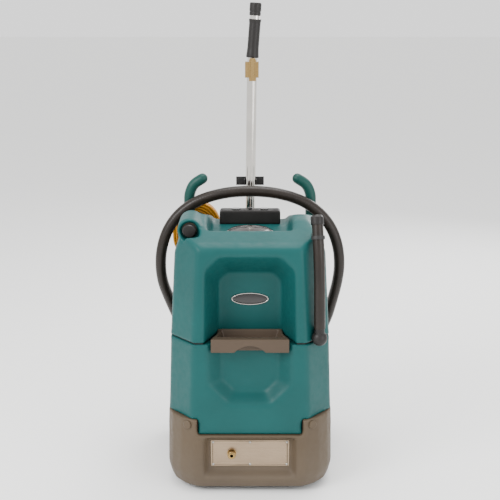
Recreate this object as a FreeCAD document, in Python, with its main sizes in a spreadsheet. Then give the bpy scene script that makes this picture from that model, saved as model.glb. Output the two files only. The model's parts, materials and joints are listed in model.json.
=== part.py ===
"""Spot extractor: a wheeled carpet spotting machine with a solution tank, a recovery tank on top of it,
a moulded base that holds the vacuum motor and pump, a looped vacuum hose and an upright wand.

Millimetres. X is to the right, Y is towards the back, Z is up. The origin is on the floor,
under the middle of the machine. Each sub-part is one document object whose Label is its file's name."""
import FreeCAD
import Part
import Sketcher
import math
import os

Vector = FreeCAD.Vector
X = Vector(1, 0, 0)
Y = Vector(0, 1, 0)
Z = Vector(0, 0, 1)

DRIVING = {
    # base
    "base_low": 12, "base_belt": 60, "base_top": 234, "base_half": 248, "base_front": 272,
    "base_back": 205, "base_wall": 7, "skirt_half": 240, "skirt_front": 260,
    "notch_half": 157, "notch_floor": 185, "panel_floor": 242,
    # tanks
    "sol_top": 466, "sol_half": 246, "seam_half": 238, "tank_front": 262, "tank_back": 195,
    "tank_wall": 6, "seam_gap": 4, "lug_half": 155, "fit_gap": 0.4,
    "rec_top": 765, "rec_half": 222, "rec_front": 250, "crown": 806, "crown_front": 90,
    "crown_back": 10, "crown_half": 176, "facet_x": 72, "facet_y": 92, "rear_facet": 45,
    # recesses in the tank fronts
    "dish_half": 133, "dish_high": 735, "dish_inner": 94, "dish_inner_high": 661,
    "dish_floor": 160, "dish_low": 279, "dish_low_inner": 312, "low_dish_half": 127,
    "low_dish_inner": 82, "low_dish_floor": 222,
    # valley and lid on the roof
    "valley_floor": 752, "valley_half": 118, "valley_wide": 132, "valley_front": 150,
    "lid_y": 62, "lid_radius": 72, "lid_hole": 58,
    # fill drawer
    "drawer_half": 115, "drawer_back_half": 98, "drawer_low": 443, "drawer_high": 484,
    "drawer_front": 268, "drawer_back": 158, "drawer_wall": 4, "scoop_radius": 62,
    # running gear
    "wheel_radius": 105, "wheel_in": 214, "wheel_out": 262, "wheel_y": 170, "rim_radius": 84,
    "axle_radius": 8, "run_gap": 0.05, "well_radius": 111,
    "caster_x": 120, "caster_y": 170, "caster_radius": 25, "caster_trail": 18,
    "plate_low": 70, "plate_high": 74,
    # hose, cord and wand
    "hose_radius": 18, "cord_radius": 4.5, "drain_radius": 16.5, "wand_radius": 16,
    "wand_y": 245, "jet_line_radius": 4, "horn_radius": 18, "horn_x": 199, "horn_y": 212,
}

doc = FreeCAD.newDocument("SpotExtractor")
sheet = doc.addObject("Spreadsheet::Sheet", "Sizes")
for row, (alias, number) in enumerate(DRIVING.items(), start=1):
    sheet.set(f"A{row}", alias)
    sheet.set(f"B{row}", str(number))
    sheet.setAlias(f"B{row}", alias)
doc.recompute()


class Size:
    """A length that carries its spreadsheet formula with its value."""

    def __init__(self, text, value):
        self.text = text
        self.value = float(value)

    def join(self, other, sign, value):
        return Size(f"({self.text} {sign} {as_size(other).text})", value)

    def __add__(self, other):
        return self.join(other, "+", self.value + as_size(other).value)

    def __sub__(self, other):
        return self.join(other, "-", self.value - as_size(other).value)

    def __mul__(self, other):
        return self.join(other, "*", self.value * as_size(other).value)

    def __truediv__(self, other):
        return self.join(other, "/", self.value / as_size(other).value)

    def __neg__(self):
        return Size(f"(0 - {self.text})", -self.value)

    def __radd__(self, other):
        return as_size(other) + self

    def __rsub__(self, other):
        return as_size(other) - self

    def __rmul__(self, other):
        return as_size(other) * self


def as_size(number):
    return number if isinstance(number, Size) else Size(repr(float(number)), number)


class Dims:
    """The spreadsheet's cells, each read as a Size."""

    def __getattr__(self, alias):
        return Size(f"Sizes.{alias}", sheet.get(alias))


dims = Dims()
nodes = []


def bind(item, prop, number):
    """Binds a property to a formula of spreadsheet cells."""
    item.setExpression(prop, as_size(number).text)


def keep(item, label):
    """Names a finished sub-part, which is then exported."""
    item.Label = label
    nodes.append(item)
    return item


def place(item, x=0, y=0, z=0, rotation=None):
    if rotation:
        item.Placement = FreeCAD.Placement(Vector(), rotation)
    for axis, number in zip("xyz", (x, y, z)):
        bind(item, f"Placement.Base.{axis}", number)
    return item


def turn_to(direction):
    """The rotation that takes +Z to a direction."""
    return FreeCAD.Rotation(Z, Vector(*direction))


def box(x_range, y_range, z_range):
    item = doc.addObject("Part::Box", "Box")
    for prop, (low, high) in zip(("Length", "Width", "Height"), (x_range, y_range, z_range)):
        bind(item, prop, high - as_size(low))
    return place(item, x_range[0], y_range[0], z_range[0])


def rod(radius, length, at, direction=(0, 0, 1)):
    item = doc.addObject("Part::Cylinder", "Rod")
    bind(item, "Radius", radius)
    bind(item, "Height", length)
    return place(item, *at, rotation=turn_to(direction))


def ball(radius, at):
    item = doc.addObject("Part::Sphere", "Ball")
    bind(item, "Radius", radius)
    return place(item, *at)


def fuse(*parts):
    item = doc.addObject("Part::MultiFuse", "Fuse")
    item.Shapes = list(parts)
    return item


def cut(base, *tools):
    item = doc.addObject("Part::Cut", "Cut")
    item.Base = base
    item.Tool = tools[0] if len(tools) == 1 else fuse(*tools)
    return item


def group(*parts):
    """Several separate solids in one sub-part."""
    item = doc.addObject("Part::Compound", "Group")
    item.Links = list(parts)
    return item


def new_body():
    return doc.addObject("PartDesign::Body", "Body")


def plane_of(body, role):
    return next(item for item in body.Origin.OriginFeatures if item.Role == role)


def outline(body, role, points, offset=0):
    """A closed sketch of straight lines on one of the body's own planes, each corner bound to formulas."""
    sketch = body.newObject("Sketcher::SketchObject", "Outline")
    sketch.AttachmentSupport = [(plane_of(body, role), "")]
    sketch.MapMode = "FlatFace"
    bind(sketch, "AttachmentOffset.Base.z", offset)
    corners = [(as_size(u), as_size(v)) for u, v in points]
    for index, (u, v) in enumerate(corners):
        u2, v2 = corners[(index + 1) % len(corners)]
        start = Vector(u.value, v.value, 0)
        sketch.addGeometry(Part.LineSegment(start, Vector(u2.value, v2.value, 0)), False)
    for index in range(len(corners)):
        following = (index + 1) % len(corners)
        sketch.addConstraint(Sketcher.Constraint("Coincident", index, 2, following, 1))
    for index, (u, v) in enumerate(corners):
        for kind, number in (("DistanceX", u), ("DistanceY", v)):
            at = sketch.addConstraint(Sketcher.Constraint(kind, -1, 1, index, 1, number.value))
            bind(sketch, f"Constraints[{at}]", number)
    return sketch


def loft(body, sketches, subtract=False):
    kind = "PartDesign::SubtractiveLoft" if subtract else "PartDesign::AdditiveLoft"
    feature = body.newObject(kind, "Loft")
    feature.Profile = sketches[0]
    feature.Sections = sketches[1:]
    feature.Ruled = True
    return feature


def pad(body, sketch, length, midplane=False):
    feature = body.newObject("PartDesign::Pad", "Pad")
    feature.Profile = sketch
    bind(feature, "Length", length)
    feature.Midplane = midplane
    return feature


def pocket(body, sketch, length, midplane=False, reverse=False):
    feature = body.newObject("PartDesign::Pocket", "Pocket")
    feature.Profile = sketch
    bind(feature, "Length", length)
    feature.Midplane = midplane
    feature.Reversed = reverse
    return feature


def turned(profile, at=(0, 0, 0), direction=(0, 0, 1)):
    """A body turned about its own Z from a list of (radius, height), then set down along a direction."""
    body = new_body()
    feature = body.newObject("PartDesign::Revolution", "Turn")
    sketch = outline(body, "XZ_Plane", profile)
    feature.Profile = sketch
    feature.ReferenceAxis = (sketch, ["V_Axis"])
    feature.Angle = 360
    body.Tip = feature
    return place(body, *at, rotation=turn_to(direction))


def prism(role, points, length, offset=0, midplane=False):
    body = new_body()
    pad(body, outline(body, role, points, offset), length, midplane)
    return body


def plan(half, front, back, facet_x, facet_y, rear):
    """An eight-cornered plan: faceted front corners and smaller rear ones. front counts towards -Y."""
    half, front, back = as_size(half), as_size(front), as_size(back)
    right = [(half - facet_x, -front), (half, -front + facet_y), (half, back - rear), (half - rear, back)]
    return right + [(-u, v) for u, v in reversed(right)]


def round_plan(half, front, back):
    """The base's plan: its front corners are turned in three steps."""
    half, front, back = as_size(half), as_size(front), as_size(back)
    rear = dims.rear_facet
    right = [(half - 84, -front), (half - 44, -front + 26), (half - 14, -front + 66), (half, -front + 112),
             (half, back - rear), (half - rear, back)]
    return right + [(-u, v) for u, v in reversed(right)]


def hull(body, levels, inset=0, subtract=False, rounded=False):
    """A lofted hull through (height, half width, front, back) levels."""
    sketches = []
    for height, half, front, back in levels:
        size = (half - inset, front - inset, back - inset)
        points = round_plan(*size) if rounded else plan(*size, dims.facet_x, dims.facet_y, dims.rear_facet)
        sketches.append(outline(body, "XY_Plane", points, height))
    return loft(body, sketches, subtract)


def rectangle(x_low, x_high, z_low, z_high):
    return [(x_low, z_low), (x_high, z_low), (x_high, z_high), (x_low, z_high)]


def recess(half, low, high, corner, downwards=False):
    """A recess's outline with its two upper, or two lower, corners cut off."""
    half, low, high = as_size(half), as_size(low), as_size(high)
    if downwards:
        return [(-half + corner, low), (half - corner, low), (half, low + corner), (half, high), (-half, high),
                (-half, low + corner)]
    return [(-half, low), (half, low), (half, high - corner), (half - corner, high), (-half + corner, high),
            (-half, high - corner)]


def dish(body, outer, inner, y_outer, y_inner, subtract=True):
    """A drafted recess, or the block it is cut from, between two rectangles on planes facing the front."""
    sections = [outline(body, "XZ_Plane", outer, y_outer), outline(body, "XZ_Plane", inner, y_inner)]
    return loft(body, sections, subtract)


def tube_path(points):
    """Straight runs joined by tangent arcs, each radius 0.45 of the shorter run over tan(half the turn)."""
    edges = []
    radii = []
    start = points[0]
    for before, corner, after in zip(points, points[1:], points[2:]):
        run_in = corner - before
        run_out = after - corner
        turn = run_in.getAngle(run_out)
        reach = 0.45 * min(run_in.Length, run_out.Length)
        radii.append(reach / math.tan(turn / 2))
        arc_start = corner - run_in * (reach / run_in.Length)
        arc_end = corner + run_out * (reach / run_out.Length)
        towards = (arc_start + arc_end) * 0.5 - corner
        depth = radii[-1] * (1 / math.cos(turn / 2) - 1)
        middle = corner + towards * (depth / towards.Length)
        edges.append(Part.LineSegment(start, arc_start).toShape())
        edges.append(Part.Arc(arc_start, middle, arc_end).toShape())
        start = arc_end
    edges.append(Part.LineSegment(start, points[-1]).toShape())
    return Part.Wire(edges), radii


def tube(label, radius, route, bore=0):
    """A round tube along a route of (x, y, z), as its own feature, checked against section times length."""
    radius = as_size(radius)
    points = [Vector(*(as_size(number).value for number in point)) for point in route]
    wire, radii = tube_path(points)
    solids = []
    for size in (radius.value, bore):
        if size:
            ring = Part.Wire(Part.makeCircle(size, points[0], points[1] - points[0]))
            solids.append(wire.makePipeShell([ring], True, False))
    item = doc.addObject("Part::Feature", "Tube")
    item.Shape = solids[0] if len(solids) == 1 else solids[0].cut(solids[1])
    expected = math.pi * (radius.value ** 2 - bore ** 2) * wire.Length
    print(f"{label}: length {wire.Length:.0f}, volume/expected {item.Shape.Volume / expected:.4f}, "
          f"radii {[round(number) for number in radii]}")
    return item


# ---------------------------------------------------------------- moulded base and chassis
COUPLER = (-55, 118)
SCREW_SPOTS = [(x, z) for x in (-111, 0, 111) for z in (83, 154)]


def base_shell():
    """Moulded base: a hollow skirt with a deck, a front notch, a panel recess and two wheel wells."""
    body = new_body()
    hull(body, [(dims.base_low, dims.skirt_half, dims.skirt_front, dims.base_back - 5),
                (dims.base_belt, dims.base_half + 3, dims.base_front + 3, dims.base_back),
                (dims.base_top, dims.base_half, dims.base_front, dims.base_back)], rounded=True)
    hull(body, [(0, dims.skirt_half, dims.skirt_front, dims.base_back - 5),
                (dims.base_belt, dims.base_half, dims.base_front, dims.base_back),
                (dims.base_top - 8, dims.base_half, dims.base_front, dims.base_back)],
         inset=dims.base_wall, subtract=True, rounded=True)
    notch_wall = dims.notch_half + dims.base_wall
    block = outline(body, "XZ_Plane", rectangle(-notch_wall, notch_wall, dims.notch_floor - 8, dims.base_top - 4),
                    210)
    pad(body, block, 55)
    floor = dims.panel_floor
    panel_block = outline(body, "XZ_Plane", rectangle(-148, 148, 40, dims.notch_floor - 4), floor - 8)
    pad(body, panel_block, 30)
    dish(body, rectangle(-142, 142, 45, 180), rectangle(-124, 124, 69, 170), dims.base_front + 6, floor)
    notch = outline(body, "XZ_Plane", rectangle(-dims.notch_half, dims.notch_half, dims.notch_floor, 260), 216)
    pocket(body, notch, 80, reverse=True)
    window = outline(body, "XZ_Plane", rectangle(-100, 100, 88, 149), floor - 20)
    pocket(body, window, 40, reverse=True)
    well = dims.well_radius
    wells = [rod(well, 90, (side * 190 if side > 0 else -280, dims.wheel_y, dims.wheel_radius), (1, 0, 0))
             for side in (1, -1)]
    posts = [rod(9, dims.base_top - 4 - dims.plate_high, (side * 155, depth, dims.plate_high))
             for side in (1, -1) for depth in (-190, 30)]
    screw_holes = [rod(2.2, 9.5, (x, -(floor + 1), z), (0, 1, 0)) for x, z in SCREW_SPOTS]
    shell = cut(body, *wells, *screw_holes, rod(24, 60, (-70, 20, 200)))
    inlet = new_body()
    loft(inlet, [outline(inlet, "XY_Plane", rectangle(-166, -134, 200, 234), 112),
                 outline(inlet, "XY_Plane", rectangle(-163, -137, 200, 232), 164)])
    return keep(fuse(shell, inlet, *posts), "base_shell")


def chassis():
    """Steel floor plate with an ear at each side that carries the axle."""
    low, high = dims.plate_low, dims.plate_high
    plate = box((-186, 186), (-200, 190), (low, high))
    ears = [box((side * 183 - 3, side * 183 + 3), (dims.wheel_y - 20, dims.wheel_y + 20), (low, 126))
            for side in (1, -1)]
    axle_hole = rod(dims.axle_radius + dims.run_gap, 400, (-200, dims.wheel_y, dims.wheel_radius), (1, 0, 0))
    keep(cut(fuse(plate, *ears), axle_hole), "chassis_plate")
    return rod(dims.axle_radius, dims.wheel_out * 2 + 4, (-dims.wheel_out - 2, dims.wheel_y, dims.wheel_radius),
               (1, 0, 0))


def wheel(name, side):
    """Rubber tyre on a spoked plastic hub that runs on the axle, and the cap on the axle's end."""
    at = (side * (dims.wheel_in + 1) if side > 0 else -dims.wheel_in - 1, dims.wheel_y, dims.wheel_radius)
    width = dims.wheel_out - dims.wheel_in - 1
    out = (side, 0, 0)
    outer, rim = dims.wheel_radius, dims.rim_radius
    keep(turned([(rim, 2), (outer - 8, 2), (outer, 10), (outer, width - 10), (outer - 8, width - 2),
                 (rim, width - 2)], at, out), f"tyre_{name}")
    bore = dims.axle_radius + dims.run_gap
    hub = turned([(bore, 0), (24, 0), (24, width / 2 - 6), (rim - 10, width / 2 - 6), (rim - 10, 4), (rim, 4),
                  (rim, width - 4), (rim - 10, width - 4), (rim - 10, width / 2 + 6), (24, width / 2 + 6),
                  (24, width), (bore, width)], at, out)
    keep(hub, f"hub_{name}")
    cap_at = (side * (dims.wheel_out + 0.6) if side > 0 else -dims.wheel_out - 0.6, dims.wheel_y,
              dims.wheel_radius)
    return turned([(0, 0), (17, 0), (17, 4), (12, 8), (0, 9)], cap_at, out)


def caster(name, side):
    """Swivel caster: fixed mount with its kingpin, fork with wheel pin, and wheel."""
    x, y = side * dims.caster_x, -dims.caster_y
    mount = turned([(0, 0), (30, 0), (30, -3), (9, -3), (9, -10), (6, -10), (6, -14), (0, -14)],
                   (x, y, dims.plate_low))
    axle_y = y + dims.caster_trail
    pin_hole = rod(6.1, 20, (x, y, 50))
    crown = rod(21, 5, (x, y, 54.5))
    collar = rod(12, 9, (x, y, 54.5))
    legs = [box((x + sign * 13 - 1.5, x + sign * 13 + 1.5), (y - 8, axle_y + 9), (15, 56)) for sign in (1, -1)]
    pin = rod(4, 29, (x - 14.5, axle_y, dims.caster_radius), (1, 0, 0))
    wide_pin_hole = rod(9.5, 10, (x, y, 59.5))
    keep(cut(fuse(crown, collar, *legs, pin), pin_hole, wide_pin_hole), f"caster_fork_{name}")
    radius = dims.caster_radius
    tyre = turned([(4.05, 0), (radius - 3, 0), (radius, 3), (radius, 17), (radius - 3, 20), (4.05, 20)],
                  (x - 10, axle_y, radius), (1, 0, 0))
    keep(tyre, f"caster_wheel_{name}")
    return mount


# ---------------------------------------------------------------- vacuum motor and pump
MOTOR = (-70, 20)


def drive_parts():
    """Vacuum motor with its fan, the pump with its pressure tube, the air riser and the float in its cage."""
    motor = turned([(0, 0), (60, 0), (60, 44), (73, 48), (73, 84), (70, 88), (25, 88), (25, 104), (22, 104),
                    (22, 84), (66, 84), (66, 52), (8, 52), (8, 40), (0, 40)], (*MOTOR, dims.plate_high))
    keep(motor, "vacuum_motor")
    blades = []
    for count in range(4):
        angle = math.pi * count / 4
        across = (math.cos(angle), math.sin(angle), 0)
        start = [centre - 58 * step for centre, step in zip((*MOTOR, 142), across)]
        blades.append(rod(8, 116, tuple(start), across))
    disc = rod(61, 3, (*MOTOR, 131))
    hub = rod(15, 19, (*MOTOR, 131))
    shaft = rod(7.95, 17, (*MOTOR, 115))
    keep(fuse(disc, hub, shaft, *blades), "vacuum_fan")
    riser = turned([(18, 0), (22, 0), (22, 532), (18, 532)], (*MOTOR, 178))
    keep(riser, "air_riser")
    pump_body = box((60, 120), (-30, 30), (dims.plate_high, 136))
    pump_motor = rod(30, 70, (90, 30, 105), (0, 1, 0))
    pump_head = box((62, 118), (-55, -30), (80, 130))
    pump_outlet = rod(8, 16, (75, -71, 105), (0, 1, 0))
    pressure_tube = tube("pressure tube", 5, [(75, -71, 105), (75, -110, 105), (40, -150, 110),
                                              (-20, -165, 116), (-55, -186, 118), (-55, -217, 118)])
    keep(fuse(pump_body, pump_motor, pump_head, pump_outlet, pressure_tube), "pump")
    cage_ring = turned([(24, 0), (28, 0), (28, 4), (24, 4)], (70, -10, 650))
    cage_top = turned([(24, 88), (28, 88), (28, 96), (24, 96)], (70, -10, 650))
    bars = [rod(1.5, 88, (70 + 26 * math.cos(angle), -10 + 26 * math.sin(angle), 652))
            for angle in (0, math.pi / 2, math.pi, 3 * math.pi / 2)]
    floor = rod(24.5, 2, (70, -10, 650))
    keep(fuse(cage_ring, cage_top, floor, *bars), "float_cage")
    keep(ball(20, (70, -10, 674)), "float_ball")


# ---------------------------------------------------------------- tanks
def drawer_outline(grow):
    half, back = dims.drawer_half + grow, dims.drawer_back_half + grow
    front, rear = -dims.drawer_front - 10 * grow, -dims.drawer_back + grow
    return [(-half, front), (half, front), (half, -262), (back, -205), (back, rear), (-back, rear),
            (-back, -205), (-half, -262)]


def drawer_space():
    """The pocket that the fill drawer slides in, cut from both tanks."""
    low, high = dims.drawer_low - dims.fit_gap, dims.drawer_high + dims.fit_gap
    return prism("XY_Plane", drawer_outline(dims.fit_gap), high - low, low)


def drawer_housing():
    """The walls of that pocket."""
    wall = dims.tank_wall
    low, high = dims.drawer_low - wall, dims.drawer_high + wall
    half, back = dims.drawer_half + wall, dims.drawer_back_half + wall
    front, rear = -235, -dims.drawer_back + wall
    points = [(-half, front), (half, front), (half, -203), (back, rear), (-back, rear), (-half, -203)]
    return points, low, high


def solution_tank():
    """Lower tank for clean solution: hollow, with a lug in the base's notch and a dished front."""
    wall = dims.tank_wall
    body = new_body()
    levels = [(dims.base_top, dims.sol_half, dims.tank_front, dims.tank_back),
              (dims.sol_top, dims.seam_half, dims.tank_front, dims.tank_back)]
    hull(body, levels)
    hull(body, [(dims.base_top + wall, *levels[0][1:]), (dims.sol_top - wall, *levels[1][1:])],
         inset=wall, subtract=True)
    points, low, high = drawer_housing()
    housing = outline(body, "XY_Plane", points, low)
    pad(body, housing, dims.sol_top - low)
    half = dims.low_dish_half
    inner, floor, over = dims.low_dish_inner, dims.low_dish_floor, dims.sol_top + 4
    dish(body, recess(half + wall, dims.dish_low - wall, dims.sol_top, 66, downwards=True),
         recess(inner + wall, dims.dish_low_inner - wall, dims.sol_top, 38, downwards=True), 258, floor - wall,
         subtract=False)
    dish(body, recess(half + 4, dims.dish_low - 4, over, 66, downwards=True),
         recess(inner, dims.dish_low_inner, over, 38, downwards=True), dims.tank_front + 4, floor)
    lug = box((-dims.lug_half, dims.lug_half), (-dims.tank_front, -217), (dims.notch_floor + 1, dims.base_top + 2))
    column = rod(28, dims.sol_top - dims.base_top, (*MOTOR, dims.base_top))
    tools = [drawer_space(), rod(22.4, 260, (*MOTOR, 215)), rod(16, 24, (-30, -190, dims.drawer_low - 14))]
    return keep(cut(fuse(body, lug, column), *tools), "solution_tank")


def tank_gasket():
    """Flat seal between the tanks, set in from their edge so that it shows as a dark seam."""
    body = new_body()
    seal = [(dims.sol_top, dims.seam_half, dims.tank_front, dims.tank_back),
            (dims.sol_top + dims.seam_gap, dims.seam_half, dims.tank_front, dims.tank_back)]
    hull(body, seal, inset=5)
    hull(body, [(dims.sol_top - 1, *seal[0][1:]), (dims.sol_top + 6, *seal[0][1:])], inset=30, subtract=True)
    notch = box((-dims.dish_half - 4, dims.dish_half + 4), (-270, -140), (460, 480))
    return keep(cut(body, notch), "tank_gasket")


def recovery_tank():
    """Upper tank for dirty water: crowned roof with a lid valley, dished front, pod for the side port."""
    wall = dims.tank_wall
    seam = dims.sol_top + dims.seam_gap
    body = new_body()
    straight_up = dims.crown + 20
    levels = [(seam, dims.seam_half, dims.tank_front, dims.tank_back),
              (straight_up, dims.rec_half - 3, dims.rec_front - 2, dims.tank_back)]
    hull(body, levels)
    roof = [(-300, dims.rec_top - 40), (-dims.rec_front + 4, dims.rec_top - 14), (-dims.rec_front + 20, dims.rec_top),
            (-dims.crown_front, dims.crown), (-dims.crown_back, dims.crown), (dims.tank_back - 12, dims.rec_top),
            (dims.tank_back + 60, dims.rec_top - 66), (dims.tank_back + 60, 900), (-300, 900)]
    pocket(body, outline(body, "YZ_Plane", roof), 600, midplane=True)
    for side in (1, -1):
        shoulder = [(side * 260, dims.rec_top - 90), (side * (dims.rec_half - 1), dims.rec_top - 34),
                    (side * (dims.rec_half - 16), dims.rec_top + 8), (side * dims.crown_half, dims.crown + 2),
                    (side * dims.crown_half, 900), (side * 260, 900)]
        pocket(body, outline(body, "XZ_Plane", shoulder), 600, midplane=True)
    hull(body, [(seam + wall, dims.seam_half, dims.tank_front - 6, dims.tank_back),
                (dims.valley_floor - wall, dims.rec_half, dims.rec_front - 8, dims.tank_back)],
         inset=wall, subtract=True)
    points, _, high = drawer_housing()
    pad(body, outline(body, "XY_Plane", points, seam), high - seam)
    half = dims.dish_half
    inner, inner_high = dims.dish_inner, dims.dish_inner_high
    dish(body, recess(half + wall, seam, dims.dish_high + wall, 44),
         recess(inner + wall, seam, inner_high + wall, 26), 250, dims.dish_floor - wall, subtract=False)
    dish(body, recess(half + 4, seam - 4, dims.dish_high + 4, 44), recess(inner, seam - 4, inner_high, 26),
         dims.tank_front + 4, dims.dish_floor)
    valley = [(-dims.valley_half, dims.valley_floor), (dims.valley_half, dims.valley_floor),
              (dims.valley_wide, dims.crown + 4), (-dims.valley_wide, dims.crown + 4)]
    cut_valley = outline(body, "XZ_Plane", valley, -220)
    pocket(body, cut_valley, dims.valley_front + 220, reverse=True)
    shoulder_hollow = [(-236, 744), (-225, 757), (-dims.crown_front, dims.crown - 8),
                       (-dims.crown_back, dims.crown - 8), (174, 758), (184, 744)]
    for side in (1, -1):
        hollow = outline(body, "YZ_Plane", shoulder_hollow, side * 155)
        pocket(body, hollow, 26, midplane=True)
    pod = rod(37, 150, (-180, -150, 783), (0, 1, 0))
    pod_cup = rod(27, 60, (-180, -191, 783), (0, 1, 0))
    port_bore = rod(15.3, 80, (-180, -160, 783), (0, 1, 0))
    port_way = rod(10, 35, (-185, -92, 781), (1, 0, 0))
    hole = rod(dims.lid_hole, 60, (0, -dims.lid_y, 710))
    riser_hole = rod(22.4, 30, (*MOTOR, 460))
    inlet_hole = rod(15.4, 40, (-60, 170, 540), (0, 1, 0))
    drain_hole = rod(15.3, 100, (204, -290, 494), (0, 1, 0))
    tools = [drawer_space(), pod_cup, port_bore, port_way, hole, riser_hole, inlet_hole, drain_hole]
    return keep(cut(fuse(body, pod), *tools), "recovery_tank")


def lid_parts():
    """Threaded ring and the clear domed lid over the recovery tank's opening."""
    at = (0, -dims.lid_y, dims.valley_floor)
    radius, hole = dims.lid_radius, dims.lid_hole
    keep(turned([(hole - 6, 0), (radius, 0), (radius, 5), (radius - 3, 8), (hole - 2, 8), (hole - 6, 5)], at),
         "lid_ring")
    keep(turned([(0, 8), (radius - 3, 8), (radius - 2, 12), (hole, 19), (hole / 2, 25), (0, 27)], at),
         "recovery_lid")


def drawer_parts():
    """Fill drawer with its trough and finger scoop, and the strainer in its outlet."""
    low, high = dims.drawer_low, dims.drawer_high
    tray = prism("XY_Plane", drawer_outline(0), high - low, low)
    trough = new_body()
    wall = dims.drawer_wall
    loft(trough, [outline(trough, "XY_Plane", [(-84, -222), (84, -222), (76, -172), (-76, -172)], low + wall),
                  outline(trough, "XY_Plane", [(-98, -240), (98, -240), (88, -164), (-88, -164)], high + 1)])
    under = box((-106, 106), (-dims.drawer_front + wall, -246), (low - 1, high - 10))
    scoop = rod(dims.scoop_radius, 30, (0, -dims.drawer_front - 10, low - 42), (0, 1, 0))
    outlet = rod(14, 20, (-30, -190, low - 5))
    keep(cut(tray, trough, under, scoop, outlet), "fill_drawer")
    keep(turned([(0, 0), (13.8, 0), (13.8, 3), (17, 3), (17, 5), (12, 5), (12, 2), (0, 2)], (-30, -190, low + 1.2)),
         "fill_strainer")


# ---------------------------------------------------------------- front of the machine
def front_parts():
    """Access panel with its screws, the solution coupler, the base bolts and the blank badge."""
    face = -dims.panel_floor - 2
    plate = box((-118, 118), (face, face + 2), (77, 160))
    coupler_x, coupler_z = COUPLER
    plate_holes = [rod(2.2, 6, (x, face - 2, z), (0, 1, 0)) for x, z in SCREW_SPOTS]
    keep(cut(plate, *plate_holes, rod(9.3, 6, (coupler_x, face - 2, coupler_z), (0, 1, 0))), "access_panel")
    screws = [turned([(0, -9), (2.2, -9), (2.2, 0), (4, 0), (4, 1), (2.6, 2.2), (0, 2.2)], (x, face, z), (0, -1, 0))
              for x, z in SCREW_SPOTS]
    keep(group(*screws), "panel_screws")
    body = turned([(5, -27), (9, -27), (9, 0), (14, 0), (14, 3), (8.3, 3), (8.3, 20), (5, 20)],
                  (coupler_x, face, coupler_z), (0, -1, 0))
    keep(body, "solution_coupler")
    sleeve = turned([(8.6, 9), (11, 9), (12, 10.5), (12, 17), (11, 18.5), (8.6, 18.5)],
                    (coupler_x, face, coupler_z), (0, -1, 0))
    keep(sleeve, "coupler_sleeve")
    bolts = []
    for side in (1, -1):
        bolts.append(turned([(0, 0.3), (13, 0.3), (13, 3.5), (10, 5.5), (0, 5.5)], (side * 186, -259, 217),
                            (side * 26, -40, 0)))
    keep(group(*bolts), "base_bolts")
    keep(oval_plate(56, 19, 4, (0, -dims.dish_floor.value, 578)), "badge")


def oval_plate(half_wide, half_high, thick, at):
    """An oval plate standing on a wall that faces the front, its edge stepped down all round."""
    item = doc.addObject("Part::Feature", "Oval")
    steps = []
    for inset, low, high in ((0, 0, thick * 0.5), (2.5, thick * 0.5, thick)):
        ring = Part.Ellipse(Vector(), half_wide - inset, half_high - inset).toShape()
        steps.append(Part.Face(Part.Wire(ring)).extrude(Vector(0, 0, high - low)))
        steps[-1].translate(Vector(0, 0, low))
    item.Shape = steps[0].fuse(steps[1])
    item.Placement = FreeCAD.Placement(Vector(*at), FreeCAD.Rotation(X, 90))
    return item


PORT = (-180, -133, 783)


def port_and_drain():
    """Side port with its turn cap, and the drain hose with its elbow, cap and clip."""
    keep(turned([(10, 45), (15, 45), (15, 2), (22, 2), (22, -4), (18, -4), (18, -2), (10, -2)],
                PORT, (0, 1, 0)), "port_collar")
    cap = turned([(0, 5), (9.5, 5), (9.5, -2.4), (17.6, -2.4), (17.6, -4.6), (20, -4.6), (20, -22), (17, -26),
                  (0, -26)], PORT, (0, 1, 0))
    keep(cap, "port_cap")
    drain_x, drain_y, outlet_z, sump_z = 204, -246, 494, 482
    radius = dims.drain_radius.value
    leg_top = 512
    outer = fuse(rod(15, 50, (drain_x, -196, outlet_z), (0, -1, 0)), ball(23, (drain_x, drain_y, sump_z)),
                 rod(15, leg_top - sump_z, (drain_x, drain_y, sump_z)))
    bores = [rod(11, 49, (drain_x, -195, outlet_z), (0, -1, 0)), ball(18, (drain_x, drain_y, sump_z)),
             rod(11, leg_top - sump_z + 1, (drain_x, drain_y, sump_z))]
    walls = [item for item in nodes if item.Label in ("recovery_tank", "solution_tank")]
    keep(cut(outer, *bores, *walls), "drain_elbow")
    route = [(drain_x, drain_y, leg_top + 0.4), (drain_x - 1, -246, 580), (drain_x - 2, -243, 660),
             (drain_x - 5, -236, 745), (drain_x - 9, -215, 815)]
    hose = tube("drain_hose", radius, route)
    keep(hose, "drain_hose")
    lean = (-4, 21, 70)
    top = route[-1]
    keep(turned([(0, 0), (18, 0), (19, 3), (19, 22), (14, 28), (0, 30)], top, lean), "drain_cap")
    ring_at = (drain_x - 7, -226, 779)
    ring = turned([(17.2, -5), (20, -5), (20, 5), (17.2, 5)], ring_at, lean)
    arm = box((180, 192), (-224, -182), (772, 784))
    clearance = rod(17.2, 60, (drain_x - 5.4, -234.2, 751.5), lean)
    keep(cut(fuse(ring, arm), clearance, recovery_blank()), "drain_clip")


def recovery_blank():
    """The recovery tank, which trims what stands on its slanting faces."""
    return next(item for item in nodes if item.Label == "recovery_tank")


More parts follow.
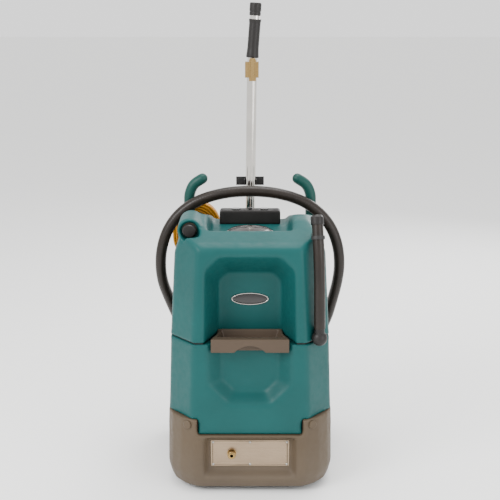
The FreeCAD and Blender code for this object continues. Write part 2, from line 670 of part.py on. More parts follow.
# ---------------------------------------------------------------- rear and roof
def control_box():
    """Black switch housing across the roof valley, with two rocker switches and a breaker button."""
    half, low, high = 97, dims.valley_floor, 796
    corner = 5
    case = prism("XZ_Plane", [(-half, low), (half, low), (half, high - corner), (half - corner, high),
                              (-half + corner, high), (-half, high - corner)], 50, -145)
    pockets = [box((x - 13, x + 13), (110, 130), (high - 12, high + 1)) for x in (-45, 45)]
    stem_hole = rod(5.2, 12, (0, 120, high - 11))
    hollow = box((-91, 91), (100, 140), (low - 1, 776))
    sockets = [rod(1.25, 32, (x - 16, 120, 793), (1, 0, 0)) for x in (-45, 45)]
    keep(cut(case, hollow, stem_hole, *pockets, *sockets), "control_box")
    for name, x in (("vacuum", -45), ("pump", 45)):
        rocker = prism("YZ_Plane", [(112, 790), (128, 790), (128, 798), (124, 800.5), (116, 800.5), (112, 798)],
                       22, x - 11)
        keep(fuse(rocker, rod(1.2, 30, (x - 15, 120, 793), (1, 0, 0))), f"{name}_rocker")
    keep(turned([(0, -7), (5, -7), (5, 2), (7, 2.6), (7, 5), (5.5, 6.5), (0, 6.5)], (0, 120, high)),
         "breaker_button")


def horn(side):
    """Upright hook that holds the wound hose: a bent tube with a rounded tip on two wall pads."""
    x, y = side * dims.horn_x.value, dims.horn_y.value
    route = [(x, y, 630), (x, y, 829), (x - side * 14, y, 862), (x - side * 44, y, 880)]
    post = tube("horns", dims.horn_radius, route)
    tip = ball(dims.horn_radius, route[-1])
    foot = ball(dims.horn_radius, route[0])
    pads = [box((x - 9, x + 9), (191, y), (z - 12, z + 12)) for z in (660, 725)]
    return cut(fuse(post, tip, foot, *pads), recovery_blank())


def wand_holder():
    """Steel T bracket on the tank's back that clips the wand, the rest under the wand's head and a cord peg."""
    back = dims.tank_back
    behind = dims.wand_y + dims.wand_radius + 3
    foot = [box((-13, 28), (back, back + 4), (640, 690)), box((24, 28), (back, behind + 4), (640, 690)),
            box((-13, 28), (behind, behind + 4), (640, 690))]
    upright = box((-13, 13), (behind, behind + 4), (640, 880))
    cross = box((-46, 46), (behind, behind + 4), (850, 878))
    bosses = [rod(11, 6, (side * 32, behind - 6, 864), (0, 1, 0)) for side in (1, -1)]
    arms = [box((low, low + 4), (dims.wand_y - 6, behind), (854, 872)) for low in (18.6, -20)]
    holes = [rod(3.2, 12, (0, back - 4, z), (0, 1, 0)) for z in (655, 675)]
    keep(cut(fuse(*foot, upright, cross, *bosses, *arms), *holes), "wand_bracket")
    rest = fuse(box((-60, 60), (dims.base_back, dims.base_back + 69), (24, 30)),
                box((-60, 60), (dims.base_back, dims.base_back + 4), (24, 120)),
                box((-60, 60), (dims.base_back + 66, dims.base_back + 70), (24, 42)))
    keep(rest, "wand_rest")
    peg = turned([(0, 0), (14, 0), (14, 4), (8, 4), (8, 76), (14, 76), (14, 79), (13, 80), (0, 80)],
                 (-166, back, 742), (0, 1, 0))
    keep(peg, "cord_peg")


def wand():
    """Floor wand: chrome tube, suction head, jet line, brass valve with its trigger, grip and hose collar."""
    y = dims.wand_y
    radius = dims.wand_radius
    tube_route = [(0, y.value, 74), (0, y.value, 700), (6, y.value - 1, 1240), (16, y.value - 3, 1400)]
    keep(tube("wand_tube", radius, tube_route, bore=14.4), "wand_tube")
    head = new_body()
    loft(head, [outline(head, "XY_Plane", rectangle(-120, 120, 214, 244), 30.4),
                outline(head, "XY_Plane", rectangle(-118, 118, 214, 258), 46),
                outline(head, "XY_Plane", rectangle(-20, 20, 225, 265), 74)])
    loft(head, [outline(head, "XY_Plane", rectangle(-114, 114, 220, 236), 30),
                outline(head, "XY_Plane", rectangle(-112, 112, 222, 252), 45),
                outline(head, "XY_Plane", rectangle(-12, 12, 235, 255), 75)], subtract=True)
    keep(head, "wand_head")
    line_y = 220
    line_route = [(3, line_y - 2, 98.2), (3, line_y + 2, 500), (5, line_y + 2, 900), (8, line_y + 3, 1194.8)]
    keep(tube("jet_line", dims.jet_line_radius, line_route), "jet_line")
    bar = rod(4, 130, (-65, 237, 52), (1, 0, 0))
    jets = [box((x - 4.5, x + 4.5), (232.5, 241.5), (36, 52)) for x in (-60, 60)]
    manifold = fuse(bar, *jets)
    fitting = box((-5, 11), (212, 236), (84, 98))
    keep(group(manifold, cut(fitting, rod(radius + 0.2, 40, (0, y, 70)))), "jet_fittings")
    block = fuse(box((-3, 19), (line_y - 8, line_y + 8.5), (1195, 1262)), rod(9, 5, (8, line_y, 1262)))
    seat = tube("seat of the tube's fittings", radius + 0.05, tube_route)
    clamp = box((-16, 28), (line_y + 5, y + 19), (1205, 1255))
    pivot_y, pivot_z = line_y - 14, 1261
    ears = [box((low, low + 3), (pivot_y - 4, line_y - 7), (pivot_z - 4, pivot_z + 4)) for low in (-1.5, 14.5)]
    pin = rod(1.5, 18, (-1, pivot_y, pivot_z), (1, 0, 0))
    keep(cut(fuse(block, clamp, *ears, pin), seat), "wand_valve")
    lever = fuse(box((2, 14), (pivot_y - 8, pivot_y - 5), (1204, 1267)),
                 box((2, 14), (pivot_y - 6, pivot_y + 4.5), (1255.5, 1266.5)))
    keep(cut(lever, rod(1.56, 20, (0, pivot_y, pivot_z), (1, 0, 0))), "wand_trigger")
    grip_from = Vector(7.6, 243.7, 1268)
    grip_along = Vector(9.2, -1.9, 124)
    grip = turned([(0, 0), (20, 0), (20.5, 4), (18.5, 30), (18.5, 108), (20, 121), (0, 121)],
                  tuple(grip_from), tuple(grip_along))
    keep(cut(grip, seat), "wand_grip")
    collar_at = (16, 242, 1400)
    along = (10, -2, 160)
    keep(turned([(13, 0), (18, 0), (18.5, 2), (18.5, 10), (17.5, 12), (19, 15), (19, 36), (17.5, 40),
                 (13, 40)], collar_at, along), "wand_collar")


# ---------------------------------------------------------------- hose and cord
HOSE_ROUTE = [(-117, 252, 240), (-166, 252, 274), (-217, 249, 338), (-251, 240, 415), (-277, 216, 490),
              (-290, 192, 539), (-295, 176, 597), (-289, 172, 661), (-267, 173, 724), (-225, 174, 778),
              (-164, 174, 817.6), (-86, 173, 840), (0, 172, 847), (86, 173, 840), (164, 174, 817.6),
              (225, 174, 778), (267, 173, 724), (289, 172, 661), (295, 176, 597), (290, 192, 539),
              (278, 216, 475), (260, 245, 392), (222, 272, 306), (164, 292, 240), (89, 303, 200),
              (8, 306, 186), (-72, 305, 188)]
CORD_ROUTE = [(-150, 220, 204), (-150, 220, 260), (-149, 219, 330), (-151, 220, 400), (-156, 226, 470),
              (-166, 240, 530), (-176, 250, 566), (-178, 252, 599.2)]
COIL = {"x": -178, "y": 252, "z": 700, "outer": 80, "inner": 34, "straight": 20, "thick": 37.6}


def hose_parts():
    """Moulded down pipe from the recovery tank, the looped vacuum hose and the cuff on its free end."""
    start, following = (Vector(*point) for point in HOSE_ROUTE[:2])
    seam = start + (start - following).normalize() * 0.3
    pipe = tube("inlet_pipe", 15, [(-60, 189, 540), (-60, 252, 540), (-60, 252, 200), tuple(seam)])
    flange = rod(26, 5, (-60, dims.tank_back, 540), (0, 1, 0))
    keep(fuse(pipe, flange), "inlet_pipe")
    keep(tube("vacuum_hose", dims.hose_radius, HOSE_ROUTE), "vacuum_hose")
    end = HOSE_ROUTE[-1]
    before = HOSE_ROUTE[-2]
    along = tuple(a - b for a, b in zip(end, before))
    keep(turned([(0, 0), (21, 0), (22, 4), (22, 30), (20.5, 34), (20, 85), (16, 85), (16, 35), (0, 35)],
                end, along), "hose_cuff")


def cord_parts():
    """Tapered gland, the supply cord, its hung coil and the plug."""
    radius = dims.cord_radius
    keep(turned([(0, 0), (9, 0), (9, 6), (radius + 1, 40), (0, 40)], (-150, 220, 164)), "cord_gland")
    keep(tube("supply_cord", radius, CORD_ROUTE), "supply_cord")
    keep(coil_solid(), "cord_coil")
    plug_at = (-92.6, 256, 672)
    cover = turned([(0, 0), (radius + 1, 0), (9, 30), (17, 38), (17, 60), (0, 60)], plug_at, (0, 0, -1))
    pins = [box((plug_at[0] + x - 3, plug_at[0] + x + 3), (plug_at[1] - 0.8, plug_at[1] + 0.8),
                (plug_at[2] - 78, plug_at[2] - 60)) for x in (-6.5, 6.5)]
    earth = rod(2.4, 20, (plug_at[0], plug_at[1] + 8, plug_at[2] - 80))
    keep(fuse(cover, *pins, earth), "cord_plug")


def coil_solid():
    """The outer shape of the hung cord: a ring with two straight sides."""
    straight, thick = COIL["straight"], COIL["thick"]
    rings = []
    for radius in (COIL["outer"], COIL["inner"]):
        arcs = []
        for way in (1, -1):
            ends = [Vector(radius * way, straight * way, 0), Vector(-radius * way, straight * way, 0)]
            middle = Vector(0, (straight + radius) * way, 0)
            arcs.append(Part.Arc(ends[0], middle, ends[1]).toShape())
            arcs.append(Part.LineSegment(ends[1], Vector(-radius * way, -straight * way, 0)).toShape())
        rings.append(Part.Face(Part.Wire(arcs)).extrude(Vector(0, 0, thick)))
    item = doc.addObject("Part::Feature", "Coil")
    item.Shape = rings[0].cut(rings[1])
    item.Placement = FreeCAD.Placement(Vector(COIL["x"], COIL["y"] + thick / 2, COIL["z"]),
                                       FreeCAD.Rotation(X, 90))
    return item


base_shell()
shaft = chassis()
caps = [wheel("left", -1), wheel("right", 1)]
keep(fuse(shaft, *caps), "axle")
keep(group(caster("left", -1), caster("right", 1)), "caster_mounts")
drive_parts()
solution_tank()
tank_gasket()
recovery_tank()
lid_parts()
drawer_parts()
front_parts()
port_and_drain()
control_box()
keep(group(horn(-1), horn(1)), "horns")
wand_holder()
wand()
hose_parts()
cord_parts()


def export():
    """Checks every object and sub-part, then writes each sub-part's shape."""
    doc.recompute()
    failed = [item.Label for item in doc.Objects if "Invalid" in item.State or "Error" in item.State]
    for item in nodes:
        if item.Shape.isNull() or not item.Shape.isValid() or not item.Shape.Solids:
            failed.append(item.Label)
    if failed:
        raise RuntimeError(f"these objects failed: {failed}")
    os.makedirs("parts", exist_ok=True)
    for item in nodes:
        item.Shape.exportStep(f"parts/{item.Label}.step")
    print(f"{len(nodes)} sub-parts written")


export()
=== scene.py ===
"""The finished look of the spot extractor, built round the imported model. Metres, +Z up, front to -Y."""
import json
import math
import bmesh
import bpy
import numpy as np
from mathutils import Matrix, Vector

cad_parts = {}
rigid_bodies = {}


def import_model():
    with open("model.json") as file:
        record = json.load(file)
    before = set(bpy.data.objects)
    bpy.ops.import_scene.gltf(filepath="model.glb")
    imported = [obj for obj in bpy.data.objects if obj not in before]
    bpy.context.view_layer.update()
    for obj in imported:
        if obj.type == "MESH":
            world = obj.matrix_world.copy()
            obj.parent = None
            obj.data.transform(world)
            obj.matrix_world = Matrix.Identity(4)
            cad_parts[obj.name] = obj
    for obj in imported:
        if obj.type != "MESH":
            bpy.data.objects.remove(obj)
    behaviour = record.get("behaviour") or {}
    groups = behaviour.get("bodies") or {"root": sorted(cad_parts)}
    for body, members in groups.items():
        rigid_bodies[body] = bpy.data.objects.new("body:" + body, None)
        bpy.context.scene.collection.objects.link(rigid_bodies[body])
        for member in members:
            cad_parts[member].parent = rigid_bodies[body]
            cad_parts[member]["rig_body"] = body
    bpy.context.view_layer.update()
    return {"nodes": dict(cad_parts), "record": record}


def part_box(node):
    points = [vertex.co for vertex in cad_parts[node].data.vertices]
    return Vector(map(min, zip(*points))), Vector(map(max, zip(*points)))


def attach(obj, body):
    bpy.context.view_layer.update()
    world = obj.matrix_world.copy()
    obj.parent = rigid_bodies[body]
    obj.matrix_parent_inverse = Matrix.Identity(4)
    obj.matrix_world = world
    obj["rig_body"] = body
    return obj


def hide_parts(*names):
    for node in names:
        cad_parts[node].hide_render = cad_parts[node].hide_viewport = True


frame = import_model()
NODES = frame["nodes"]
MM = 0.001

# ---------------------------------------------------------------- routes, as the model's tubes follow them
HOSE_ROUTE = [
    (-0.117, 0.252, 0.240), (-0.166, 0.252, 0.274), (-0.217, 0.249, 0.338), (-0.251, 0.240, 0.415),
    (-0.277, 0.216, 0.490), (-0.290, 0.192, 0.539), (-0.295, 0.176, 0.597), (-0.289, 0.172, 0.661),
    (-0.267, 0.173, 0.724), (-0.225, 0.174, 0.778), (-0.164, 0.174, 0.8176), (-0.086, 0.173, 0.840),
    (0.000, 0.172, 0.847), (0.086, 0.173, 0.840), (0.164, 0.174, 0.8176), (0.225, 0.174, 0.778),
    (0.267, 0.173, 0.724), (0.289, 0.172, 0.661), (0.295, 0.176, 0.597), (0.290, 0.192, 0.539),
    (0.278, 0.216, 0.475), (0.260, 0.245, 0.392), (0.222, 0.272, 0.306), (0.164, 0.292, 0.240),
    (0.089, 0.303, 0.200), (0.008, 0.306, 0.186), (-0.072, 0.305, 0.188)]
CORD_ROUTE = [
    (-0.150, 0.220, 0.204), (-0.150, 0.220, 0.260), (-0.149, 0.219, 0.330), (-0.151, 0.220, 0.400),
    (-0.156, 0.226, 0.470), (-0.166, 0.240, 0.530)]
CORD_LEAD_IN = [(-0.178, 0.250, 0.558), (-0.178, 0.247, 0.5816), (-0.1906, 0.242, 0.602)]
CORD_LEAD_OUT = [(-0.1025, 0.265, 0.705), (-0.094, 0.258, 0.690)]
HOSE_RADIUS = 18 * MM
CORD_RADIUS = 4.5 * MM

CAMERA_AT = (0, -3.25, 1.45)
CAMERA_AIM = (0, 0, 0.69)
CAMERA_LENS = 77.2
CAMERA_SENSOR = 36
LIGHT_AIM = (0, 0, 0.6)
# name, place, width of the disc, power in watts
LIGHTS = (
    ("key_light", (-2.6, -2.4, 2.8), 2.0, 150),
    ("fill_light", (2.8, -2.6, 1.5), 2.4, 60),
    ("top_light", (0.2, 0.2, 3.6), 2.2, 95),
    ("back_light", (1.5, 3.0, 2.0), 2.0, 54))
SKY_STRENGTH = 1.5
FLOOR_REACH = 40
WELD_GAP = 0.01 * MM
EDGE_WIDTH = 0.6 * MM
TANK_CELL = 3.6 * MM
TANK_ROUNDS = 30
SHARPEST_SMOOTH = math.radians(38)


# ---------------------------------------------------------------- camera, light and floor
def make_camera():
    data = bpy.data.cameras.new("camera")
    data.sensor_width = CAMERA_SENSOR
    data.lens = CAMERA_LENS
    item = bpy.data.objects.new("camera", data)
    item.location = CAMERA_AT
    item.rotation_euler = (Vector(CAMERA_AIM) - Vector(CAMERA_AT)).to_track_quat("-Z", "Y").to_euler()
    bpy.context.scene.collection.objects.link(item)
    bpy.context.scene.camera = item


def area_light(name, at, size, power):
    data = bpy.data.lights.new(name, "AREA")
    data.shape = "DISK"
    data.size = size
    data.energy = power
    item = bpy.data.objects.new(name, data)
    item.location = at
    item.rotation_euler = (Vector(LIGHT_AIM) - Vector(at)).to_track_quat("-Z", "Y").to_euler()
    bpy.context.scene.collection.objects.link(item)


def make_studio():
    """Four soft lights, a white sky and a white floor."""
    for light in LIGHTS:
        area_light(*light)
    world = bpy.data.worlds.new("studio")
    world.use_nodes = True
    background = world.node_tree.nodes["Background"]
    background.inputs["Color"].default_value = (1, 1, 1, 1)
    background.inputs["Strength"].default_value = SKY_STRENGTH
    bpy.context.scene.world = world
    mesh = bpy.data.meshes.new("floor")
    corners = [(x * FLOOR_REACH, y * FLOOR_REACH, 0) for x, y in ((-1, -1), (1, -1), (1, 1), (-1, 1))]
    mesh.from_pydata(corners, [], [(0, 1, 2, 3)])
    floor = bpy.data.objects.new("floor", mesh)
    bpy.context.scene.collection.objects.link(floor)
    paint(floor, plain("floor", (0.9, 0.9, 0.89), 0.7))


# ---------------------------------------------------------------- materials
def plain(name, colour, roughness):
    """A bare material, for the floor only."""
    item = bpy.data.materials.new(name)
    item.use_nodes = True
    shader = item.node_tree.nodes["Principled BSDF"]
    shader.inputs["Base Color"].default_value = (*colour, 1)
    shader.inputs["Roughness"].default_value = roughness
    return item


class Surface:
    """A material under construction, in object coordinates, which are metres."""

    def __init__(self, name, **constants):
        self.material = bpy.data.materials.new(name)
        self.material.use_nodes = True
        self.tree = self.material.node_tree
        self.shader = self.tree.nodes["Principled BSDF"]
        for socket, value in constants.items():
            self.shader.inputs[socket.replace("_", " ")].default_value = value
        self.where = self.tree.nodes.new("ShaderNodeTexCoord").outputs["Object"]
        self.normal = None

    def node(self, kind, **values):
        item = self.tree.nodes.new(kind)
        for name, value in values.items():
            setattr(item, name, value)
        return item

    def link(self, source, target):
        self.tree.links.new(source, target)

    def noise(self, scale, detail=2, stretch=(1, 1, 1)):
        """Noise with about `scale` features a metre, drawn out by stretch."""
        mapping = self.node("ShaderNodeMapping")
        mapping.inputs["Scale"].default_value = stretch
        self.link(self.where, mapping.inputs["Vector"])
        item = self.node("ShaderNodeTexNoise")
        item.inputs["Scale"].default_value = scale
        item.inputs["Detail"].default_value = detail
        self.link(mapping.outputs["Vector"], item.inputs["Vector"])
        return item.outputs["Fac"]

    def spread(self, source, low, high, start=0.3, stop=0.7):
        item = self.node("ShaderNodeMapRange")
        for socket, value in (("From Min", start), ("From Max", stop), ("To Min", low), ("To Max", high)):
            item.inputs[socket].default_value = value
        self.link(source, item.inputs["Value"])
        return item.outputs["Result"]

    def mix(self, factor, first, second):
        item = self.node("ShaderNodeMix", data_type="RGBA")
        self.link(factor, item.inputs["Factor"])
        for socket, value in (("A", first), ("B", second)):
            target = [entry for entry in item.inputs if entry.name == socket and entry.type == "RGBA"][0]
            if isinstance(value, tuple):
                target.default_value = (*value, 1)
            else:
                self.link(value, target)
        return [entry for entry in item.outputs if entry.type == "RGBA"][0]

    def height(self):
        """The height above the floor."""
        item = self.node("ShaderNodeSeparateXYZ")
        self.link(self.where, item.inputs["Vector"])
        return item.outputs["Z"]

    def colour(self, source):
        self.link(source, self.shader.inputs["Base Color"])

    def roughness(self, source):
        self.link(source, self.shader.inputs["Roughness"])

    def bump(self, source, depth, strength=1.0):
        item = self.node("ShaderNodeBump")
        item.inputs["Distance"].default_value = depth
        item.inputs["Strength"].default_value = strength
        self.link(source, item.inputs["Height"])
        if self.normal:
            self.link(self.normal, item.inputs["Normal"])
        self.normal = item.outputs["Normal"]
        self.link(self.normal, self.shader.inputs["Normal"])


def shade(colour, factor):
    return tuple(channel * factor for channel in colour)


def moulded(name, colour, roughness=0.5, peel=0.25, dust=0.0):
    """Moulded plastic: fine orange peel, slow colour drift, faint scuffs and, near the floor, dust."""
    surface = Surface(name, Specular_IOR_Level=0.22)
    drift = surface.spread(surface.noise(7, 3), 0, 1)
    tint = surface.mix(drift, shade(colour, 0.93), shade(colour, 1.08))
    scuffs = surface.spread(surface.noise(26, 8, (1, 1, 5)), 0, 0.16, 0.60, 0.78)
    tint = surface.mix(scuffs, tint, shade(colour, 1.5))
    if dust:
        low_down = surface.spread(surface.height(), dust, 0, 0.0, 0.16)
        tint = surface.mix(low_down, tint, (0.19, 0.17, 0.15))
    surface.colour(tint)
    surface.roughness(surface.spread(surface.noise(60, 4), roughness - 0.06, roughness + 0.07))
    surface.bump(surface.noise(420, 2), 0.5 * MM, peel)
    surface.bump(surface.noise(24, 2), 3 * MM, peel * 0.35)
    return surface.material


def satin(name, colour, roughness=0.4, gloss=0.0):
    """Smooth injection-moulded plastic or rubber with smudges and hairline scratches."""
    surface = Surface(name, Specular_IOR_Level=0.28, Coat_Weight=gloss, Coat_Roughness=0.15)
    wear = surface.spread(surface.noise(90, 8, (1, 1, 8)), 0, 0.25, 0.62, 0.75)
    surface.colour(surface.mix(wear, colour, shade(colour, 1.9)))
    surface.roughness(surface.spread(surface.noise(35, 4), roughness - 0.08, roughness + 0.1))
    surface.bump(surface.noise(900, 2), 0.15 * MM, 0.3)
    return surface.material


def metal(name, colour, roughness, grain=(1, 1, 1), depth=0.05, smudge=0.06):
    """Bare or plated metal, its grain drawn out along the axis whose stretch is smallest."""
    surface = Surface(name, Metallic=1.0)
    tarnish = surface.spread(surface.noise(18, 5), 0, 1)
    surface.colour(surface.mix(tarnish, shade(colour, 0.88), colour))
    fine = surface.noise(380, 3, grain)
    surface.roughness(surface.spread(fine, roughness - smudge, roughness + smudge))
    surface.bump(fine, depth * MM, 0.5)
    return surface.material


def hose_skin(name, pitch):
    """Dark vinyl over a wire helix: faint ribs across the hose, and a satin gloss."""
    surface = Surface(name, Specular_IOR_Level=0.25, Coat_Weight=0.06, Coat_Roughness=0.25)
    colour = (0.012, 0.0082, 0.0060)
    drift = surface.spread(surface.noise(22, 4), 0, 1)
    surface.colour(surface.mix(drift, shade(colour, 0.85), shade(colour, 1.25)))
    surface.roughness(surface.spread(surface.noise(70, 3), 0.30, 0.44))
    along = surface.node("ShaderNodeUVMap").outputs["UV"]
    parts = surface.node("ShaderNodeSeparateXYZ")
    surface.link(along, parts.inputs["Vector"])
    wave = surface.node("ShaderNodeMath", operation="MULTIPLY")
    wave.inputs[1].default_value = 2 * math.pi / pitch
    surface.link(parts.outputs["X"], wave.inputs[0])
    sine = surface.node("ShaderNodeMath", operation="SINE")
    surface.link(wave.outputs["Value"], sine.inputs[0])
    surface.bump(sine.outputs["Value"], 0.35 * MM, 0.35)
    return surface.material


def tyre_rubber():
    surface = Surface("tyre_rubber", Specular_IOR_Level=0.35)
    colour = (0.022, 0.021, 0.020)
    dusty = surface.spread(surface.noise(40, 6), 0, 0.45, 0.45, 0.75)
    surface.colour(surface.mix(dusty, colour, (0.10, 0.09, 0.08)))
    surface.roughness(surface.spread(surface.noise(60, 4), 0.62, 0.85))
    surface.bump(surface.noise(500, 3), 0.3 * MM, 0.4)
    return surface.material


def smoked_clear():
    """Dark, slightly hazy clear plastic."""
    surface = Surface("smoked_clear", Transmission_Weight=0.2, IOR=1.45, Specular_IOR_Level=0.35)
    haze = surface.spread(surface.noise(30, 5), 0, 1)
    surface.colour(surface.mix(haze, (0.016, 0.012, 0.012), (0.030, 0.024, 0.022)))
    surface.roughness(surface.spread(surface.noise(45, 4), 0.10, 0.24))
    return surface.material


def brushed(name, colour, axis):
    """Brushed sheet: long fine scratches along one axis."""
    stretch = tuple(0.02 if index == axis else 1 for index in range(3))
    return metal(name, colour, 0.34, stretch, depth=0.08, smudge=0.12)


def make_materials():
    teal = (0.0018, 0.058, 0.056)
    return {
        "teal_plastic": moulded("teal_plastic", teal, 0.46),
        "dark_teal_plastic": moulded("dark_teal_plastic", (0.004, 0.044, 0.036), 0.42, 0.12),
        "taupe_plastic": moulded("taupe_plastic", (0.074, 0.053, 0.033), 0.55, 0.4, dust=0.12),
        "grey_plastic": moulded("grey_plastic", (0.062, 0.043, 0.029), 0.45, 0.18),
        "black_plastic": satin("black_plastic", (0.010, 0.0085, 0.0080), 0.42),
        "black_gloss": satin("black_gloss", (0.008, 0.007, 0.007), 0.2, 0.6),
        "hose_black": hose_skin("hose_black", 0.0045),
        "tyre_rubber": tyre_rubber(),
        "seal_rubber": satin("seal_rubber", (0.010, 0.010, 0.010), 0.65),
        "clear_lid": smoked_clear(),
        "chrome": metal("chrome", (0.70, 0.67, 0.63), 0.11, (1, 1, 0.03), 0.01, 0.05),
        "brushed_steel": brushed("brushed_steel", (0.34, 0.255, 0.175), 0),
        "zinc_steel": metal("zinc_steel", (0.36, 0.34, 0.31), 0.36),
        "black_steel": satin("black_steel", (0.020, 0.019, 0.019), 0.5),
        "brass": metal("brass", (0.40, 0.265, 0.105), 0.27),
        "yellow_cord": satin("yellow_cord", (0.42, 0.175, 0.006), 0.38),
        "motor_metal": metal("motor_metal", (0.33, 0.33, 0.34), 0.45),
        "float_white": moulded("float_white", (0.62, 0.61, 0.58), 0.45, 0.1),
    }


def paint(item, material):
    item.data.materials.clear()
    item.data.materials.append(material)


# ---------------------------------------------------------------- cords
def nurbs(name, points, radius, material):
    curve = bpy.data.curves.new(name, "CURVE")
    curve.dimensions = "3D"
    spline = curve.splines.new("NURBS")
    spline.points.add(len(points) - 1)
    for control, point in zip(spline.points, points):
        control.co = (*point, 1)
    spline.order_u = 3
    spline.use_endpoint_u = True
    spline.resolution_u = 6
    curve.bevel_depth = radius
    curve.bevel_resolution = 5
    curve.use_fill_caps = True
    item = bpy.data.objects.new(name, curve)
    bpy.context.scene.collection.objects.link(item)
    paint(item, material)
    return item


def make_hose(materials):
    hose = nurbs("vacuum_hose_skin", HOSE_ROUTE, HOSE_RADIUS, materials["hose_black"])
    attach(hose, "root")
    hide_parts("vacuum_hose")


def coil_points():
    """The hung coil's turns, wound out and in layer by layer, its round ends joined by straight sides."""
    low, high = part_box("cord_coil")
    centre = (low + high) / 2
    inner_row, row_gap, straight = 38.5 * MM, 9.25 * MM, 20 * MM
    windings = ((4, 3, 2, 1, 0), (0, 1, 2, 3, 4), (4, 3, 2), (2, 3, 4))
    layer_gap = (high.y - low.y - 2 * CORD_RADIUS) / (len(windings) - 1)
    places = [(inner_row + row * row_gap, low.y + CORD_RADIUS + layer * layer_gap)
              for layer, rows in enumerate(windings) for row in rows]
    places.append(places[-1])
    steps, start, count = 20, math.radians(-117), 314
    points = []
    for index in range(count):
        turn, step = divmod(index, steps)
        move = max(0.0, (step / steps - 0.7) / 0.3)
        wide, depth = (a + (b - a) * move for a, b in zip(places[turn], places[turn + 1]))
        angle = start - 2 * math.pi * index / steps
        rise = math.copysign(straight, math.sin(angle))
        points.append((centre.x + wide * math.cos(angle), depth, centre.z + wide * math.sin(angle) + rise))
    return points


def make_cord(materials):
    plug_low, plug_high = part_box("cord_plug")
    plug = ((plug_low.x + plug_high.x) / 2, (plug_low.y + plug_high.y) / 2, plug_high.z)
    route = CORD_ROUTE + CORD_LEAD_IN + coil_points() + CORD_LEAD_OUT + [plug]
    cord = nurbs("supply_cord_skin", route, CORD_RADIUS, materials["yellow_cord"])
    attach(cord, "root")
    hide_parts("supply_cord", "cord_coil")


# ---------------------------------------------------------------- moulded shells
def relax(mesh, rounds, hold):
    """Rounds a mesh's edges: each point moves towards its neighbours' mean, by its own weight each round."""
    count = len(mesh.vertices)
    places = np.empty(count * 3)
    mesh.vertices.foreach_get("co", places)
    places = places.reshape(count, 3)
    ends = np.empty(len(mesh.edges) * 2, dtype=np.int64)
    mesh.edges.foreach_get("vertices", ends)
    first, second = ends.reshape(-1, 2).T
    neighbours = np.bincount(ends, minlength=count)
    weight = 0.5 * hold(places)
    for _ in range(rounds):
        for axis in range(3):
            line = places[:, axis]
            total = np.bincount(first, line[second], count) + np.bincount(second, line[first], count)
            places[:, axis] = line + weight * (total / neighbours - line)
    mesh.vertices.foreach_set("co", places.ravel())
    mesh.update()


def keep_levels(levels, near=4 * MM, far=16 * MM, least=0.12):
    """A weight that is small near the given heights, where a seam has to stay tight."""
    def weight(places):
        gap = np.min([np.abs(places[:, 2] - level) for level in levels], axis=0)
        return np.clip((gap - near) / (far - near), least, 1)
    return weight


def keep_pocket(levels, margin=7 * MM, least=0.12):
    """The same, and small too beside the drawer, whose pocket has to stay tight."""
    low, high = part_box("fill_drawer")
    by_level = keep_levels(levels)

    def weight(places):
        x, y, z = places.T
        beside = (np.abs(x) < high.x + margin) & (y < high.y + margin)
        beside &= (z > low.z - margin) & (z < high.z + margin)
        return np.where(beside, least, by_level(places))
    return weight


def shell(node, material_name, materials, voxel, rounds, hold):
    """A rotomoulded skin over a node: its solid remade in even cells, with its edges relaxed."""
    mesh = NODES[node].data.copy()
    body = bmesh.new()
    body.from_mesh(mesh)
    bmesh.ops.remove_doubles(body, verts=body.verts, dist=WELD_GAP)
    body.to_mesh(mesh)
    body.free()
    draft = bpy.data.objects.new(f"{node}_draft", mesh)
    bpy.context.scene.collection.objects.link(draft)
    remesh = draft.modifiers.new("cells", "REMESH")
    remesh.mode = "VOXEL"
    remesh.voxel_size = voxel
    remesh.adaptivity = 0
    depsgraph = bpy.context.evaluated_depsgraph_get()
    skin = bpy.data.meshes.new_from_object(draft.evaluated_get(depsgraph))
    bpy.data.objects.remove(draft)
    relax(skin, rounds, hold)
    skin.polygons.foreach_set("use_smooth", [True] * len(skin.polygons))
    item = bpy.data.objects.new(f"{node}_skin", skin)
    bpy.context.scene.collection.objects.link(item)
    paint(item, materials[material_name])
    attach(item, NODES[node]["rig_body"])
    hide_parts(node)
    return item


def make_shells(materials):
    base_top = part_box("solution_tank")[0].z
    seam_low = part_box("tank_gasket")[0].z
    seam_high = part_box("tank_gasket")[1].z
    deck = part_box("base_shell")[1].z
    shell("recovery_tank", "teal_plastic", materials, TANK_CELL, TANK_ROUNDS, keep_pocket([seam_high]))
    shell("solution_tank", "teal_plastic", materials, TANK_CELL, TANK_ROUNDS,
          keep_pocket([seam_low, deck, base_top]))
    shell("base_shell", "taupe_plastic", materials, TANK_CELL, TANK_ROUNDS,
          keep_levels([deck, base_top]))
    shell("fill_drawer", "grey_plastic", materials, 1.6 * MM, 8, keep_levels([0]))
    shell("control_box", "black_plastic", materials, 2.0 * MM, 10, keep_levels([0]))
    shell("horns", "dark_teal_plastic", materials, 2.4 * MM, 14, keep_levels([0]))


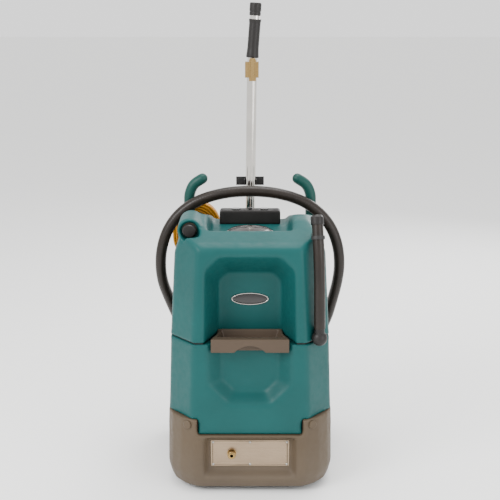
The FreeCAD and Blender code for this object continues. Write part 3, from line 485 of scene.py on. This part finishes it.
# ---------------------------------------------------------------- badge
def make_badge(materials):
    """Blank oval badge: a bright rolled rim round a domed black field."""
    low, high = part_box("badge")
    centre = (low + high) / 2
    half_wide, half_high = (high.x - low.x) / 2, (high.z - low.z) / 2
    back, front = high.y, low.y
    depth = back - front

    def oval(name, profile, material):
        """A mesh of oval rings; the profile is (inset from the edge, height off the wall)."""
        mesh = bmesh.new()
        rings = []
        sides = 96
        for inset, height in profile:
            ring = []
            for side in range(sides):
                angle = 2 * math.pi * side / sides
                ring.append(mesh.verts.new((centre.x + (half_wide - inset) * math.cos(angle), back - height,
                                            centre.z + (half_high - inset) * math.sin(angle))))
            rings.append(ring)
        for outer, inner in zip(rings, rings[1:]):
            for side in range(sides):
                following = (side + 1) % sides
                mesh.faces.new((outer[side], outer[following], inner[following], inner[side]))
        mesh.faces.new(rings[-1])
        mesh.faces.new(list(reversed(rings[0])))
        bmesh.ops.recalc_face_normals(mesh, faces=mesh.faces)
        data = bpy.data.meshes.new(name)
        mesh.to_mesh(data)
        mesh.free()
        data.polygons.foreach_set("use_smooth", [True] * len(data.polygons))
        item = bpy.data.objects.new(name, data)
        bpy.context.scene.collection.objects.link(item)
        paint(item, material)
        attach(item, "root")
        return item

    rolled = [(0, 0), (0, depth * 0.55), (0.5 * MM, depth * 0.85), (1.4 * MM, depth),
              (2.4 * MM, depth * 0.95), (3.0 * MM, depth * 0.7), (3.2 * MM, depth * 0.3)]
    rim = oval("badge_rim", rolled, materials["chrome"])
    field = [(3.1 * MM, depth * 0.1), (3.1 * MM, depth * 0.55), (4.5 * MM, depth * 0.66),
             (9 * MM, depth * 0.8), (14 * MM, depth * 0.88)]
    enamel = oval("badge_field", field, materials["black_gloss"])
    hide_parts("badge")


# ---------------------------------------------------------------- carried-over nodes
def finish_nodes(materials):
    """Every node that still shows gets its material and softened edges."""
    slots = {entry["node"]: entry["material_slot"] for entry in frame["record"]["subparts"]}
    for name, item in NODES.items():
        paint(item, materials[slots[name]])
        if item.hide_render:
            continue
        weld = item.modifiers.new("weld", "WELD")
        weld.merge_threshold = WELD_GAP
        edge = item.modifiers.new("edges", "BEVEL")
        edge.width = EDGE_WIDTH
        edge.segments = 2
        edge.limit_method = "ANGLE"
        edge.angle_limit = SHARPEST_SMOOTH
        normals = item.modifiers.new("normals", "WEIGHTED_NORMAL")
        normals.keep_sharp = True


materials = make_materials()
make_camera()
make_hose(materials)
make_cord(materials)
make_studio()
make_shells(materials)
make_badge(materials)
finish_nodes(materials)
